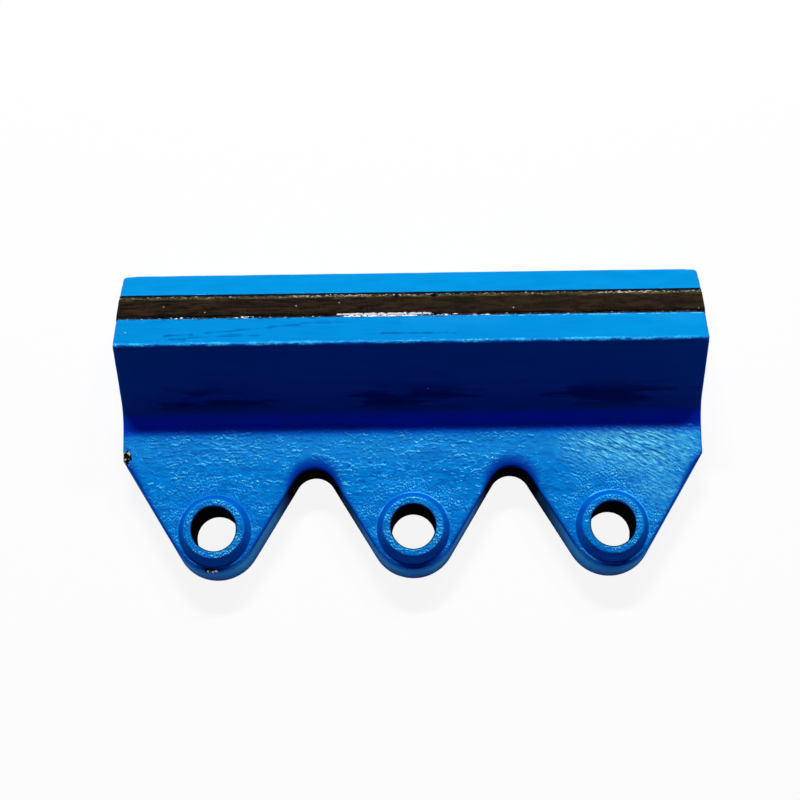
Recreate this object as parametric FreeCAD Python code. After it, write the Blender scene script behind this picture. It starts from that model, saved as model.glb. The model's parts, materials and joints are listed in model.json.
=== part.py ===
"""Impact crusher blow bar: a steel casting with a square nose and three bolt lugs, and a
hard-metal insert brazed into a groove in the nose's leading face.

Frame: the bar lies on its back. X runs along the bar, Y from the lugs to the head, Z out of
the back face. The origin is where the middle bolt hole's axis meets the back face.
Lengths are in millimetres and angles in degrees.
"""
import FreeCAD, Part
import math
import os

# Bar section
bar_length = 295.0
plate_thickness = 22.0
nose_reach = 85.8          # from the bolt line to the sharp corner of the nose
nose_height = 64.0         # from the back face to that corner
head_reach = 130.8         # from the bolt line to the head's top side
leading_face_angle = 32.0  # the leading face's fall behind the nose
nose_angle = 90.0
nose_radius = 1.5
undercut_fillet = 18.0
head_top_radius = 2.5

# Lugs, in plan
bolt_count = 3
bolt_pitch = 100.0
bolt_hole_radius = 11.0
hole_rim_radius = 1.2
lug_tip_radius = 22.0      # at the back face
lug_side_angle = 31.0      # from the bar's Y direction
lug_draft = 1.5
gap_radius = 10.5          # at the back face
shoulder_radius = 3.0
edge_radius = 1.5

# Bosses around the bolt holes
boss_height = 6.0
boss_top_radius = 15.5
boss_side_angle = 12.0     # the boss side's lean from the hole's axis
boss_edge_radius = 1.2
boss_foot_fillet = 2.0

# Groove and insert, measured on the leading face
groove_from_nose = 19.5
groove_width = 18.0
groove_depth = 12.0
insert_width = 14.0
insert_bevel = 0.5
lower_joint = 1.5          # braze on the nose side of the insert
bead_sag = 0.4             # dip of a braze bead's middle below its edges

# Values that follow from the sizes above
undercut_angle = 180.0 - nose_angle - leading_face_angle
boss_face = plate_thickness + boss_height
margin = 10.0              # how far cutting shapes reach past the bar
touching = 1e-4            # two things this close lie on each other
bolt_x = [bolt_pitch * (i - (bolt_count - 1) / 2) for i in range(bolt_count)]
upper_joint = groove_width - insert_width - lower_joint


def tan(angle):
    return math.tan(math.radians(angle))


def sin(angle):
    return math.sin(math.radians(angle))


def cos(angle):
    return math.cos(math.radians(angle))


def rounded_outline(corners, place):
    """A closed wire through (u, v, radius) corners, each rounded by a tangent arc.

    place turns (u, v) into a point in space.
    """
    points = []
    for i, (u, v, radius) in enumerate(corners):
        before = corners[i - 1]
        after = corners[(i + 1) % len(corners)]
        corner = FreeCAD.Vector(u, v, 0)
        back = (FreeCAD.Vector(before[0], before[1], 0) - corner).normalize()
        ahead = (FreeCAD.Vector(after[0], after[1], 0) - corner).normalize()
        if radius == 0:
            points.append([corner])
            continue
        half_turn = back.getAngle(ahead) / 2
        middle = (back + ahead).normalize()
        centre = corner + middle * (radius / math.sin(half_turn))
        run = radius / math.tan(half_turn)
        points.append([corner + back * run, centre - middle * radius, corner + ahead * run])
    edges = []
    for i, arc in enumerate(points):
        arc_points = [place(p.x, p.y) for p in arc]
        if len(arc_points) == 3:
            edges.append(Part.Arc(*arc_points).toShape())
        start = points[(i + 1) % len(points)][0]
        edges.append(Part.LineSegment(arc_points[-1], place(start.x, start.y)).toShape())
    return Part.Wire(edges)


def prism_along_bar(corners, length):
    """A prism centred on the bar's middle, from an outline in the Y, Z plane."""
    outline = rounded_outline(corners, lambda y, z: FreeCAD.Vector(-length / 2, y, z))
    return Part.Face(outline).extrude(FreeCAD.Vector(length, 0, 0))


def on_leading_face(along, deep):
    """The (y, z) point that lies along mm from the nose corner and deep mm inside the face."""
    y = nose_reach + along * cos(leading_face_angle) - deep * sin(leading_face_angle)
    z = nose_height - along * sin(leading_face_angle) - deep * cos(leading_face_angle)
    return y, z


def bar_section():
    """The plate, its fillet up to the undercut face, the nose, and the head down to the back."""
    plate_end = -lug_tip_radius - margin
    undercut_foot = nose_reach - (nose_height - plate_thickness) / tan(undercut_angle)
    head_top = nose_height - (head_reach - nose_reach) * tan(leading_face_angle)
    return [
        (plate_end, 0, 0),
        (plate_end, plate_thickness, 0),
        (undercut_foot, plate_thickness, undercut_fillet),
        (nose_reach, nose_height, nose_radius),
        (head_reach, head_top, head_top_radius),
        (head_reach, 0, 0),
    ]


def plan_outline(height):
    """The bar seen from the front, cut at a height: lug sides and tips draw in with the draft."""
    inset = height * tan(lug_draft)
    tip_radius = lug_tip_radius - inset
    tip_half_width = tip_radius / cos(lug_side_angle)
    end_run = bar_length / 2 - bolt_x[-1]
    shoulder_y = (end_run - tip_half_width) / tan(lug_side_angle)
    gap_y = (bolt_pitch / 2 - tip_half_width) / tan(lug_side_angle)
    far_y = head_reach + margin
    corners = [(bar_length / 2, far_y, 0), (-bar_length / 2, far_y, 0)]
    corners.append((-bar_length / 2, shoulder_y, shoulder_radius))
    for i, x in enumerate(bolt_x):
        if i > 0:
            corners.append((x - bolt_pitch / 2, gap_y, gap_radius + inset))
        corners.append((x, -tip_radius / sin(lug_side_angle), tip_radius))
    corners.append((bar_length / 2, shoulder_y, shoulder_radius))
    return rounded_outline(corners, lambda x, y: FreeCAD.Vector(x, y, height))


def boss(x):
    """A bolt boss, turned about its hole's axis, with a fillet that runs out on the plate."""
    foot = boss_top_radius + boss_height * tan(boss_side_angle)
    skirt = foot + boss_foot_fillet
    corners = [
        (0, plate_thickness / 2, 0),
        (skirt, plate_thickness / 2, 0),
        (skirt, plate_thickness, 0),
        (foot, plate_thickness, boss_foot_fillet),
        (boss_top_radius, boss_face, boss_edge_radius),
        (0, boss_face, 0),
    ]
    outline = rounded_outline(corners, lambda r, z: FreeCAD.Vector(x + r, 0, z))
    return Part.Face(outline).revolve(FreeCAD.Vector(x, 0, 0), FreeCAD.Vector(0, 0, 1), 360)


def front_rim(blank, sides):
    """The edges where the bar's front meets its ends, lug sides and gaps."""
    rim = []
    for edge in blank.Edges:
        middle = edge.valueAt((edge.FirstParameter + edge.LastParameter) / 2)
        on_sides = sides.distToShape(Part.Vertex(middle))[0] < touching
        off_the_back = edge.BoundBox.ZMin > edge_radius
        at_head_top = middle.y > head_reach - touching and middle.z > touching
        if on_sides and (off_the_back or at_head_top):
            rim.append(edge)
    return rim


def bar_blank():
    """The casting before its bosses, holes and groove."""
    low = plan_outline(0)
    high = plan_outline(nose_height)
    plan = Part.makeLoft([low, high], True, True)
    sides = Part.makeLoft([low, high], False, True)
    blank = prism_along_bar(bar_section(), bar_length + 2 * margin).common(plan)
    return blank.makeFillet(edge_radius, front_rim(blank, sides))


def groove():
    floor_near = on_leading_face(groove_from_nose, groove_depth)
    floor_far = on_leading_face(groove_from_nose + groove_width, groove_depth)
    open_far = on_leading_face(groove_from_nose + groove_width, -groove_depth)
    open_near = on_leading_face(groove_from_nose, -groove_depth)
    corners = [(*p, 0) for p in (floor_near, floor_far, open_far, open_near)]
    return prism_along_bar(corners, bar_length + 2 * margin)


def bar_casting():
    casting = bar_blank()
    for x in bolt_x:
        casting = casting.fuse(boss(x))
    for x in bolt_x:
        start = FreeCAD.Vector(x, 0, -margin)
        drill = Part.makeCylinder(bolt_hole_radius, boss_face + 2 * margin, start)
        casting = casting.cut(drill)
    casting = casting.removeSplitter()
    rims = []
    for edge in casting.Edges:
        at_face = abs(edge.BoundBox.ZMin - boss_face) < touching
        if at_face and isinstance(edge.Curve, Part.Circle):
            if abs(edge.Curve.Radius - bolt_hole_radius) < touching:
                rims.append(edge)
    casting = casting.makeFillet(hole_rim_radius, rims)
    return casting.cut(groove()).removeSplitter()


def hard_metal_insert():
    """A sintered bar that lies on the groove's floor, with its exposed edges bevelled."""
    near = groove_from_nose + lower_joint
    far = near + insert_width
    corners = [
        on_leading_face(near, groove_depth),
        on_leading_face(far, groove_depth),
        on_leading_face(far, insert_bevel),
        on_leading_face(far - insert_bevel, 0),
        on_leading_face(near + insert_bevel, 0),
        on_leading_face(near, insert_bevel),
    ]
    return prism_along_bar([(*p, 0) for p in corners], bar_length)


def braze_bead(near, width):
    """Filler from the groove's floor up to the bevel, with a top that dips in its middle."""
    def place(along, deep):
        y, z = on_leading_face(along, deep)
        return FreeCAD.Vector(-bar_length / 2, y, z)

    floor_near = place(near, groove_depth)
    floor_far = place(near + width, groove_depth)
    top_far = place(near + width, insert_bevel)
    top_middle = place(near + width / 2, insert_bevel + bead_sag)
    top_near = place(near, insert_bevel)
    outline = Part.Wire([
        Part.LineSegment(floor_near, floor_far).toShape(),
        Part.LineSegment(floor_far, top_far).toShape(),
        Part.Arc(top_far, top_middle, top_near).toShape(),
        Part.LineSegment(top_near, floor_near).toShape(),
    ])
    return Part.Face(outline).extrude(FreeCAD.Vector(bar_length, 0, 0))


pieces = {
    "bar_casting": bar_casting(),
    "hard_metal_insert": hard_metal_insert(),
    "lower_braze_bead": braze_bead(groove_from_nose, lower_joint),
    "upper_braze_bead": braze_bead(groove_from_nose + groove_width - upper_joint, upper_joint),
}

os.makedirs("parts", exist_ok=True)
for name, shape in pieces.items():
    shape.exportStep("parts/" + name + ".step")
    print(name, "valid", shape.isValid(), "solids", len(shape.Solids), "volume", round(shape.Volume))
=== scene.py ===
# %% [markdown]
# An impact crusher blow bar: a steel casting in blue enamel, lying on its back, with a bar of
# hard metal brazed into a groove along its nose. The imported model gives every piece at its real
# size. This script adds what the model leaves out: the skin that sand leaves on a casting, the
# paint with its chips, the pitted hard metal and the rough brazing filler.

import json
import math
from types import SimpleNamespace

import bmesh
import bpy
import numpy as np
from mathutils import Matrix, Vector
from mathutils.bvhtree import BVHTree


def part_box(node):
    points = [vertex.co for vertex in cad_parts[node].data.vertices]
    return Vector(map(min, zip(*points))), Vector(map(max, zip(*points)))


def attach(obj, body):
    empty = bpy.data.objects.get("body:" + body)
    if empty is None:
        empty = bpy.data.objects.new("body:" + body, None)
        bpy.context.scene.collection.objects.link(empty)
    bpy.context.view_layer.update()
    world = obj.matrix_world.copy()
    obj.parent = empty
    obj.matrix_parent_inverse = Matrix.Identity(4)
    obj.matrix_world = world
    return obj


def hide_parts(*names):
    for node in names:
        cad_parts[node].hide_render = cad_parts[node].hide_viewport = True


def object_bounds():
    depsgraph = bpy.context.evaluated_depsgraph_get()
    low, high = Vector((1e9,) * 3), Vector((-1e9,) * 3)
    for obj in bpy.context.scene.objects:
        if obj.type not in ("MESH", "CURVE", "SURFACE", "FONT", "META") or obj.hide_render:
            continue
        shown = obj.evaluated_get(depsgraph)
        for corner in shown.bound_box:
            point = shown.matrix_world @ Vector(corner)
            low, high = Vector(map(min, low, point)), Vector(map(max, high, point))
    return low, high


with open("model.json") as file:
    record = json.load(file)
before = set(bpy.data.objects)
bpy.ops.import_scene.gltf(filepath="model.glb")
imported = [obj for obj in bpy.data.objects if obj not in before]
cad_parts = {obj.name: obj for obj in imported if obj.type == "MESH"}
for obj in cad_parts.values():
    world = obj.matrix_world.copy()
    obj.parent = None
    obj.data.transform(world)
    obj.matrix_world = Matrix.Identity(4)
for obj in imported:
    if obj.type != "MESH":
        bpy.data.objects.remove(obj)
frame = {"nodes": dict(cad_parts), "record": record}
cad_low, cad_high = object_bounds()
scene = bpy.context.scene
MM = 0.001
print("bar of", [round(side / MM, 1) for side in cad_high - cad_low], "mm")

# %% [markdown]
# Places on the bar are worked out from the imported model. The bolt holes are its bore mounts. The
# leading face falls away behind the nose, and the hard-metal bar lies flush in it, so the bar's
# own face gives the slope of that face.

# %% Places on the bar
bolts = [Vector(m["pos_m"]) for m in frame["record"]["mounts"] if m["kind"] == "bore"]
bolt_pitch = (bolts[1] - bolts[0]).length
bolt_radius = frame["record"]["mounts"][0]["dims"]["r_mm"] * MM


def end_outline(node):
    """The (y, z) corners of a straight piece's end face, in order round it."""
    corners = [v.co for v in frame["nodes"][node].data.vertices]
    end = min(c.x for c in corners)
    found = {(round(c.y, 7), round(c.z, 7)) for c in corners if c.x < end + 1e-6}
    y, z = np.mean(list(found), axis=0)
    return sorted(found, key=lambda c: math.atan2(c[1] - z, c[0] - y))


crest = max((v.co for v in frame["nodes"]["bar_casting"].data.vertices), key=lambda c: c.z)
leading_face = max(
    frame["nodes"]["hard_metal_insert"].data.polygons, key=lambda p: p.normal.z * p.area
)
leading_normal = leading_face.normal.copy()
print("bolt pitch", round(bolt_pitch / MM, 2), "mm, hole radius", round(bolt_radius / MM, 2), "mm")
print("nose crest at y", round(crest.y / MM, 2), "z", round(crest.z / MM, 2))
print("leading face looks towards", [round(c, 3) for c in leading_normal])

# %% [markdown]
# A few small helpers serve every mesh, material and node tree below. Colours are written as sRGB
# hex values, as a colour picker shows them, and Blender wants them linear. A node is added with
# its settings and its links in one call, which keeps a tree readable from top to bottom.

# %% Helpers for colours, nodes and meshes


def linear(hex_colour):
    """An sRGB hex colour as linear RGBA."""
    parts = [int(hex_colour[i:i + 2], 16) / 255 for i in (1, 3, 5)]
    red, green, blue = (p / 12.92 if p <= 0.04045 else ((p + 0.055) / 1.055) ** 2.4 for p in parts)
    return red, green, blue, 1.0


def add(tree, kind, inputs=None, **settings):
    """Adds a node and gives back its outputs. inputs holds values or other nodes' outputs."""
    made = tree.nodes.new(kind)
    for name, value in settings.items():
        setattr(made, name, value)
    for key, value in (inputs or {}).items():
        if isinstance(value, bpy.types.NodeSocket):
            tree.links.new(value, made.inputs[key])
        else:
            made.inputs[key].default_value = value
    return made.outputs


def new_material(name):
    """An empty material and its node tree."""
    material = bpy.data.materials.new(name)
    material.use_nodes = True
    material.node_tree.nodes.clear()
    return material, material.node_tree


def surface_mm(tree):
    """Where the shaded point lies on the bar, in millimetres."""
    at = add(tree, "ShaderNodeTexCoord")["Object"]
    return add(tree, "ShaderNodeVectorMath", {0: at, "Scale": 1 / MM}, operation="SCALE")[0]


def new_geometry_tree(name, sizes):
    """An empty Geometry Nodes tree whose inputs are a geometry and the named sizes."""
    tree = bpy.data.node_groups.new(name, "GeometryNodeTree")
    tree.interface.new_socket("Geometry", in_out="INPUT", socket_type="NodeSocketGeometry")
    tree.interface.new_socket("Geometry", in_out="OUTPUT", socket_type="NodeSocketGeometry")
    for label, kind in sizes.items():
        tree.interface.new_socket(label, in_out="INPUT", socket_type="NodeSocket" + kind)
    return tree


def modified(mesh, name, kind, settings, inputs=None):
    """The plain mesh that one modifier makes of a mesh. inputs are a node tree's."""
    carrier = bpy.data.objects.new(name, mesh)
    scene.collection.objects.link(carrier)
    modifier = carrier.modifiers.new(name, kind)
    for key, value in settings.items():
        setattr(modifier, key, value)
    for identifier, value in (inputs or {}).items():
        modifier[identifier] = value
    graph = bpy.context.evaluated_depsgraph_get()
    made = bpy.data.meshes.new_from_object(carrier.evaluated_get(graph), depsgraph=graph)
    bpy.data.objects.remove(carrier)
    made.name = name
    return made


def run_tree(mesh, tree, sizes, name):
    """The plain mesh that a tree makes of a mesh. Inputs are set by their identifiers."""
    inputs = {
        item.identifier: sizes[item.name] for item in tree.interface.items_tree
        if item.in_out == "INPUT" and item.name in sizes
    }
    return modified(mesh, name, "NODES", {"node_group": tree}, inputs)


def points_of(mesh):
    """The mesh's points in metres, a row of x, y, z for each."""
    points = np.empty(len(mesh.vertices) * 3)
    mesh.vertices.foreach_get("co", points)
    return points.reshape(-1, 3)


def move_points(mesh, points):
    """Gives the mesh new places for its points, in metres."""
    mesh.vertices.foreach_set("co", points.ravel())
    mesh.update()


def show(mesh, name, body, slot, *nodes):
    """A finished piece: it rides on a body and stands for CAD nodes. slot is not used."""
    piece = bpy.data.objects.new(name, mesh)
    scene.collection.objects.link(piece)
    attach(piece, body)
    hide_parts(*nodes)
    triangles = sum(len(p.vertices) - 2 for p in mesh.polygons)
    print(name, "has", triangles, "triangles")


# %% [markdown]
# The casting first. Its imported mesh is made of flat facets, as few as its curves allow, so relief
# pressed into it would show those facets. The copy is rebuilt as an even net instead: a voxel
# remesh, then each point is put back on the true curved surface. Between three corners whose
# normals are known, that surface bulges over the facet by half of the Phong tessellation term.

# %% An even net over the casting
net_size = 0.7 * MM


def on_curved_surface(cad, points):
    """The points moved onto the surface that a CAD node's facets stand for."""
    mesh = cad.data
    corners = np.array([v.co for v in mesh.vertices])
    triangles = np.array([p.vertices[:] for p in mesh.polygons])
    normals = np.array([n.vector for n in mesh.corner_normals]).reshape(-1, 3, 3)
    tree = BVHTree.FromPolygons(corners.tolist(), triangles.tolist())
    hits = [tree.find_nearest(p) for p in points]
    foot = np.array([h[0] for h in hits])
    face = np.array([h[2] for h in hits])
    a, b, c = (corners[triangles[face, i]] for i in range(3))
    area = np.linalg.norm(np.cross(b - a, c - a), axis=1)
    shares = [
        np.linalg.norm(np.cross(p - foot, q - foot), axis=1) / area
        for p, q in ((b, c), (c, a), (a, b))
    ]
    bulge = np.zeros_like(foot)
    for i, corner in enumerate((a, b, c)):
        normal = normals[face, i]
        depth = np.sum((foot - corner) * normal, axis=1)
        bulge -= (shares[i] * depth)[:, None] * normal
    return foot + 0.5 * bulge


def even_net(node, size):
    """A CAD node's surface as an even net of that mesh size."""
    cad = frame["nodes"][node]
    merged = bmesh.new()
    merged.from_mesh(cad.data)
    bmesh.ops.remove_doubles(merged, verts=merged.verts, dist=1e-6)
    mesh = bpy.data.meshes.new(node + "_net")
    merged.to_mesh(mesh)
    merged.free()
    net = modified(mesh, node + "_net", "REMESH", {"mode": "VOXEL", "voxel_size": size})
    move_points(net, on_curved_surface(cad, points_of(net)))
    print(node, "net has", len(net.vertices), "points")
    return net


casting_net = even_net("bar_casting", net_size)

# %% [markdown]
# Thick enamel rounds an edge off more than the bare casting does, and most in the tight roots
# between the lugs. Each point of the net moves some of the way to the middle of its neighbours,
# again and again. That leaves flat skin as it is and draws only the edges in, so a zone with a
# number of passes is all it needs. The bosses keep their crisp edges.

# %% Soft rims on the lugs and in the gaps


def ramp(values, start, end):
    """0 before start, 1 past end, and a soft step between them."""
    share = np.clip((values - start) / (end - start), 0.0, 1.0)
    return share * share * (3.0 - 2.0 * share)


def softened(net, zone, passes):
    """Draws the edges of the net in, as much as zone says, which gives 0 to 1 for places in mm."""
    points = points_of(net)
    ends = np.empty(len(net.edges) * 2, dtype=int)
    net.edges.foreach_get("vertices", ends)
    ends = ends.reshape(-1, 2)
    weight = zone(points / MM)
    ends = ends[(weight[ends] > 0).any(axis=1)]
    used, local = np.unique(ends, return_inverse=True)
    local = local.reshape(-1, 2)
    moved = points[used]
    share = (0.5 * weight[used])[:, None]
    count = np.bincount(local.ravel(), minlength=len(used))
    for _ in range(passes):
        total = np.stack([
            np.bincount(local[:, 0], moved[local[:, 1], axis], len(used))
            + np.bincount(local[:, 1], moved[local[:, 0], axis], len(used))
            for axis in range(3)
        ], axis=1)
        moved += share * (total / count[:, None] - moved)
    drawn_in = np.linalg.norm(moved - points[used], axis=1).max()
    points[used] = moved
    move_points(net, points)
    print("edges drawn in by up to", round(drawn_in / MM, 2), "mm")


boss_foot = 19.5
gap_root_y = 24.0


def lug_rims(places):
    """The edges of the lugs, their tips and gaps, but not the bosses."""
    x, y, z = places.T
    pitch = bolt_pitch / MM
    from_bolt = np.hypot((x + pitch / 2) % pitch - pitch / 2, y)
    return (
        ramp(z, 12.0, 17.0) * ramp(y, 47.0, 43.0) * ramp(np.abs(x), 146.0, 143.0)
        * ramp(from_bolt, boss_foot, boss_foot + 1.5)
    )


def gap_roots(places):
    """The tight rounds between the lugs."""
    x, y, z = places.T
    pitch = bolt_pitch / MM
    from_gap = np.hypot(x % pitch - pitch / 2, y - gap_root_y)
    return lug_rims(places) * ramp(from_gap, 18.0, 11.0) * ramp(z, 9.0, 15.0)


def head_corners(places):
    """The corners at the two ends of the head's far side."""
    x, y, z = places.T
    high = cad_high / MM
    at_corner = ramp(np.abs(x), high.x - 8.0, high.x - 4.0) * ramp(y, high.y - 8.0, high.y - 4.0)
    return at_corner * ramp(z, 12.0, 20.0)


passes_per_mm = 1.0 / (net_size / MM) ** 2
softened(casting_net, lug_rims, int(7 * passes_per_mm))
softened(casting_net, gap_roots, int(22 * passes_per_mm))
softened(casting_net, head_corners, int(9 * passes_per_mm))

# %% [markdown]
# On the real bar the bosses' sides flare and end in a crisp ring on the plate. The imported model
# has them steeper, with a soft fillet. Each point on a boss's side or on the plate beside it has
# one length along that profile, so it moves to the same length along the flared one.

# %% Flared boss sides
boss_top = 28.0
plate_top = 22.0
flare_start, flare_end = 15.3, 18.4
ring_snap = 0.35    # points this near the foot's ring go onto it
hole_rim = 13.0


def flare_bosses(net):
    points = points_of(net) / MM
    pitch = bolt_pitch / MM
    bolt_x = np.round(points[:, 0] / pitch) * pitch
    from_axis = points[:, :2] - np.stack([bolt_x, np.zeros(len(points))], axis=1)
    radius = np.linalg.norm(from_axis, axis=1)
    run = radius + boss_top - points[:, 2]
    run_end = flare_end + boss_top - plate_top
    run = np.where(np.abs(run - run_end) < ring_snap, run_end, run)
    on_side = (run > flare_start) & (run <= run_end) & (radius > hole_rim)
    on_side &= points[:, 2] > plate_top - 0.5
    share = (run - flare_start) / (run_end - flare_start)
    new_radius = flare_start + share * (flare_end - flare_start)
    points[on_side, 2] = (boss_top - share * (boss_top - plate_top))[on_side]
    outward = from_axis[on_side] / radius[on_side, None]
    points[on_side, 0] = bolt_x[on_side] + outward[:, 0] * new_radius[on_side]
    points[on_side, 1] = outward[:, 1] * new_radius[on_side]
    move_points(net, points * MM)
    print("moved", int(on_side.sum()), "points onto the flared boss sides")


flare_bosses(casting_net)

# %% [markdown]
# A sand mould leaves its own skin. The plate between nose and bolts shows wrinkles where the
# metal and the thick enamel ran along the bar, and around the bolts the skin is pebbled. Some
# patches are livelier than others, and a few small dents lie between them. All of these are
# places on the bar, so they are listed once, in millimetres, and both the relief and the paint
# read the lists.

# %% Dents, chips and lively patches
dents = [
    # place, half lengths, depth
    ((-32.0, 31.7, 22.0), (1.6, 0.9, 2.0), 0.40),
    ((-21.4, 33.4, 22.0), (1.4, 0.8, 2.0), 0.40),
    ((-14.0, 33.3, 22.0), (1.3, 0.8, 2.0), 0.35),
    ((-17.2, 28.1, 22.0), (1.2, 1.1, 2.0), 0.45),
    ((-17.5, 25.4, 22.0), (1.0, 1.2, 2.0), 0.45),
    ((-24.8, 23.5, 22.0), (1.3, 0.9, 2.0), 0.35),
    ((-2.8, 29.7, 22.0), (1.5, 0.8, 2.0), 0.35),
    ((26.5, 31.4, 22.0), (1.6, 1.0, 2.0), 0.35),
    ((-1.8, 13.4, 28.0), (1.2, 0.9, 2.0), 0.35),
]
chips = [
    ((-145.6, 38.6, 21.5), (3.2, 4.9, 4.0), 0.55),
    ((-101.2, -19.8, 21.0), (5.0, 1.5, 2.0), 0.45),
    ((147.3, 95.5, 57.5), (0.8, 0.9, 1.2), 0.35),
]
lively_patches = [
    # place, half lengths, how much livelier the short ripples are
    ((-98.0, 44.0, 22.0), (42.0, 12.0, 12.0), 0.34),
    ((-112.0, 30.0, 22.0), (30.0, 12.0, 12.0), 0.10),
    ((4.0, 44.0, 22.0), (34.0, 8.0, 12.0), 0.14),
    ((112.0, 36.0, 22.0), (40.0, 16.0, 12.0), 0.28),
    ((66.0, 38.0, 22.0), (13.0, 14.0, 12.0), -0.25),
]
flow_patches = [
    ((110.0, 42.0, 22.0), (46.0, 14.0, 12.0), 0.9),
    ((30.0, 42.0, 22.0), (60.0, 12.0, 12.0), 0.35),
]
pebbled_patches = [
    ((108.0, 24.0, 22.0), (36.0, 14.0, 12.0), 0.8),
]
# Patches near the right end where glints are painted in pale streaks.
glint_patches = [
    ((114.0, 41.0, 22.0), (48.0, 19.0, 12.0), 1.1),
    ((126.0, 20.0, 22.0), (24.0, 18.0, 12.0), 0.5),
]
print(len(dents), "dents and", len(chips), "chips")


def spot(tree, place_mm, at, half, gain, ragged=None, soft=0.45):
    """gain inside a round spot, 0 outside it, and a soft step between them."""
    offset = add(tree, "ShaderNodeVectorMath", {0: place_mm, 1: at}, operation="SUBTRACT")[0]
    share = add(tree, "ShaderNodeVectorMath", {0: offset, 1: half}, operation="DIVIDE")[0]
    reach = add(tree, "ShaderNodeVectorMath", {0: share}, operation="LENGTH")[1]
    if ragged is not None:
        reach = add(tree, "ShaderNodeMath", {0: reach, 1: ragged}, operation="ADD")[0]
    return add(
        tree, "ShaderNodeMapRange", {0: reach, 1: 1.0, 2: 1.0 - soft, 4: gain},
        interpolation_type="SMOOTHSTEP",
    )[0]


def sum_of_spots(tree, place_mm, spots, base, **options):
    """base plus the gain of each spot that the place lies in."""
    total = base
    for at, half, gain in spots:
        part = spot(tree, place_mm, at, half, gain, **options)
        total = add(tree, "ShaderNodeMath", {0: total, 1: part}, operation="ADD")[0]
    return total


def ragged_edge(tree, place_mm):
    """Noise that makes the rim of a dent or a chip uneven."""
    noise = add(
        tree, "ShaderNodeTexNoise", {"Vector": place_mm, "Scale": 0.9, "Detail": 2.0},
        normalize=False,
    )[0]
    return add(tree, "ShaderNodeMath", {0: noise, 1: 0.35}, operation="MULTIPLY")[0]


# %% [markdown]
# Relief and paint both follow the bar's form, so they ask the same questions: how far a bolt or
# the nose is, and how much a place lies in a zone. Here those questions become nodes, and the
# noise for wrinkles, pebbles and clouds gets its size in millimetres.

# %% Zones and noise that the relief and the paint share


def zone(tree, *limits):
    """How much a place lies in a zone: the product of its limits' shares.

    A limit is a share, or a value with the two numbers where its share starts and is full. Two
    numbers more say how large the share is there, if not 0 and 1.
    """
    total = None
    for limit in limits:
        if isinstance(limit, tuple):
            value, *numbers = limit
            limit = add(tree, "ShaderNodeMapRange", {0: value, **dict(enumerate(numbers, 1))})[0]
        if total is not None:
            limit = add(tree, "ShaderNodeMath", {0: total, 1: limit}, operation="MULTIPLY")[0]
        total = limit
    return total


def either(tree, share, *others):
    """The largest of the shares: how much a place lies in any of their zones."""
    for other in others:
        share = add(tree, "ShaderNodeMath", {0: share, 1: other}, operation="MAXIMUM")[0]
    return share


def bolt_distance(tree, place_mm):
    """Millimetres from the axis of the nearest bolt hole, which repeat at the bolt pitch."""
    parts = add(tree, "ShaderNodeSeparateXYZ", {0: place_mm})
    half_pitch = bolt_pitch / MM / 2
    across = add(
        tree, "ShaderNodeMath", {0: parts[0], 1: half_pitch, 2: -half_pitch}, operation="WRAP"
    )[0]
    flat = add(tree, "ShaderNodeCombineXYZ", {0: across, 1: parts[1]})[0]
    return add(tree, "ShaderNodeVectorMath", {0: flat}, operation="LENGTH")[1]


def nose_distance(tree, place_mm, nose):
    """Millimetres from a line along the bar through the point nose."""
    across = add(
        tree, "ShaderNodeVectorMath", {0: place_mm, 1: (0.0, 1.0, 1.0)}, operation="MULTIPLY"
    )[0]
    return add(tree, "ShaderNodeVectorMath", {0: across, 1: nose}, operation="DISTANCE")[1]


mound_top = 0.32    # of the noise above the calm skin
flow_bend_x, flow_slope = 70.0, 0.45
calm_ripples, calm_flows, calm_pebbles = -0.18, -0.85, -0.16
boss_roughness = 1.5    # of a boss's top beside the plate


def above(tree, noise, calm, height):
    """What rises above calm, up to the mound's top, times height: low mounds on a flat skin.

    Their flanks are nearly plane, which is what lets them glint.
    """
    raised = add(tree, "ShaderNodeMath", {0: noise, 1: calm}, operation="SUBTRACT")[0]
    raised = add(tree, "ShaderNodeMath", {0: raised, 1: 0.0}, operation="MAXIMUM")[0]
    raised = add(tree, "ShaderNodeMath", {0: raised, 1: mound_top}, operation="MINIMUM")[0]
    return add(tree, "ShaderNodeMath", {0: raised, 1: height}, operation="MULTIPLY")[0]


def along_flow(tree, place_mm):
    """The place with y slanted, so that what runs along x runs down towards the right end."""
    parts = add(tree, "ShaderNodeSeparateXYZ", {0: place_mm})
    past = add(tree, "ShaderNodeMath", {0: parts[0], 1: -flow_bend_x}, operation="ADD")[0]
    past = add(tree, "ShaderNodeMath", {0: past, 1: 0.0}, operation="MAXIMUM")[0]
    slant = add(tree, "ShaderNodeMath", {0: past, 1: flow_slope}, operation="MULTIPLY")[0]
    lifted = add(tree, "ShaderNodeMath", {0: parts[1], 1: slant}, operation="ADD")[0]
    return add(tree, "ShaderNodeCombineXYZ", {0: parts[0], 1: lifted, 2: parts[2]})[0]


def wrinkles(tree, place_mm, length, width, calm, height):
    """Wrinkles along the bar. Near the right end they run down towards it."""
    flow = along_flow(tree, place_mm)
    size = add(tree, "ShaderNodeCombineXYZ", {0: length, 1: width, 2: width})[0]
    stretched = add(tree, "ShaderNodeVectorMath", {0: flow, 1: size}, operation="DIVIDE")[0]
    noise = add(
        tree, "ShaderNodeTexNoise",
        {"Vector": stretched, "Scale": 1.0, "Detail": 2.0, "Roughness": 0.5, "Distortion": 0.9},
        normalize=False,
    )[0]
    return above(tree, noise, calm, height)


def grains(tree, place_mm, size):
    """Noise about 0 whose grains are of that size in millimetres."""
    scale = add(tree, "ShaderNodeMath", {0: 1.0, 1: size}, operation="DIVIDE")[0]
    return add(
        tree, "ShaderNodeTexNoise",
        {"Vector": place_mm, "Scale": scale, "Detail": 1.0, "Roughness": 0.5}, normalize=False,
    )[0]


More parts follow.
